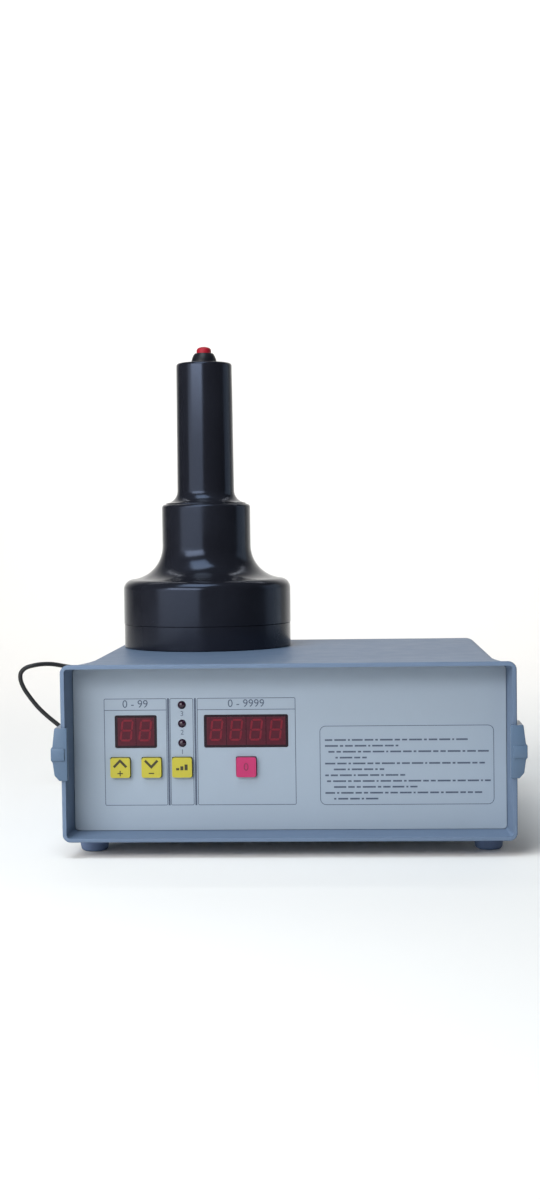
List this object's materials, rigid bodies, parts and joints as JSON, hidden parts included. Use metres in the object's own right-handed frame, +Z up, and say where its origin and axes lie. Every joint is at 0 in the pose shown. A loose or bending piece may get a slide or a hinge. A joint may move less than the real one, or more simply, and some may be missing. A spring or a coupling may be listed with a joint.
{
  "type": "induction cap sealer",
  "caption": "Bench induction cap sealer: flat moulded case with a recessed key panel, and a turned hand-held sealing head with a trigger button resting on the lid, joined by a lead.",
  "frame": {"origin": "standing surface under the middle of the case, measured without the lead", "axes": "+Z up, -Y towards the front panel, +X to the right of someone facing the panel"},
  "size_m": [0.3626, 0.314, 0.3293],
  "materials": {
    "case_shell": "fine-textured blue-grey moulding",
    "foot_rubber": "matt navy rubber",
    "head_gloss": "glossy near-black",
    "red_filter": "dark red display filter",
    "lamp_lens": "dark unlit lens",
    "yellow_key": "satin yellow",
    "magenta_key": "satin magenta",
    "trigger_red": "satin red",
    "black_plastic": "black moulding",
    "lead_sheath": "black flexible sheath",
    "circuit_board": "green laminate",
    "steel": "plated",
    "sink": "extruded",
    "ferrite": "sintered grey",
    "copper": "enamelled wire",
    "capacitor": "sleeved"
  },
  "bodies": {
    "sealer": {"upper_shell": "case_shell", "lower_shell": "case_shell", "front_panel": "case_shell", "rear_panel": "case_shell", "left_front_clip": "case_shell", "right_front_clip": "case_shell", "left_rear_clip": "case_shell", "right_rear_clip": "case_shell", "front_left_foot": "foot_rubber", "front_right_foot": "foot_rubber", "rear_left_foot": "foot_rubber", "rear_right_foot": "foot_rubber", "foot_screws": "steel", "board_spacers": "steel", "board_screws": "steel", "power_board_screws": "steel", "fan_guard": "steel", "fan_screws": "steel", "inlet_blades": "steel", "trigger_spring": "steel", "lead_tie": "steel", "time_window": "red_filter", "count_window": "red_filter", "time_display": "black_plastic", "count_display": "black_plastic", "key_switches": "black_plastic", "power_transistors": "black_plastic", "fan_frame": "black_plastic", "mains_inlet": "black_plastic", "switch_frame": "black_plastic", "trigger_switch": "black_plastic", "trigger_collar": "black_plastic", "high_lamp": "lamp_lens", "middle_lamp": "lamp_lens", "low_lamp": "lamp_lens", "control_board": "circuit_board", "power_board": "circuit_board", "heat_sink": "sink", "transformer_core": "ferrite", "ferrite_bars": "ferrite", "transformer_winding": "copper", "coil_winding": "copper", "filter_capacitors": "capacitor", "resonant_capacitors": "capacitor", "head_base": "head_gloss", "bell_housing": "head_gloss", "handle_grip": "head_gloss", "case_lead_gland": "lead_sheath", "head_lead_gland": "lead_sheath", "lead_loop": "lead_sheath", "lead_coil": "lead_sheath", "lead_riser": "lead_sheath"},
    "increase": {"increase_key": "yellow_key"},
    "decrease": {"decrease_key": "yellow_key"},
    "level": {"level_key": "yellow_key"},
    "reset": {"reset_key": "magenta_key"},
    "trigger": {"trigger_button": "trigger_red"},
    "power_rocker": {"switch_rocker": "black_plastic"},
    "fan": {"fan_rotor": "black_plastic"}
  },
  "joints": [
    {"name": "increase_press", "type": "slide", "parent": "sealer", "child": "increase", "axis": [0, 1, 0], "range_m": [0, 0.0003], "stiffness_N_per_m": 1000},
    {"name": "decrease_press", "type": "slide", "parent": "sealer", "child": "decrease", "axis": [0, 1, 0], "range_m": [0, 0.0003], "stiffness_N_per_m": 1000},
    {"name": "level_press", "type": "slide", "parent": "sealer", "child": "level", "axis": [0, 1, 0], "range_m": [0, 0.0003], "stiffness_N_per_m": 1000},
    {"name": "reset_press", "type": "slide", "parent": "sealer", "child": "reset", "axis": [0, 1, 0], "range_m": [0, 0.0003], "stiffness_N_per_m": 1000},
    {"name": "trigger_press", "type": "slide", "parent": "sealer", "child": "trigger", "axis": [0, 0, -1], "range_m": [0, 0.002], "stiffness_N_per_m": 900, "deforming": ["trigger_spring"]},
    {"name": "power_rocker_tilt", "type": "hinge", "parent": "sealer", "child": "power_rocker", "pos_m": [-0.036, 0.122, 0.083], "axis": [1, 0, 0], "range_deg": [-18, 0]},
    {"name": "fan_spin", "type": "hinge", "parent": "sealer", "child": "fan", "pos_m": [0.048, 0.113, 0.064], "axis": [0, 1, 0], "continuous": true}
  ]
}
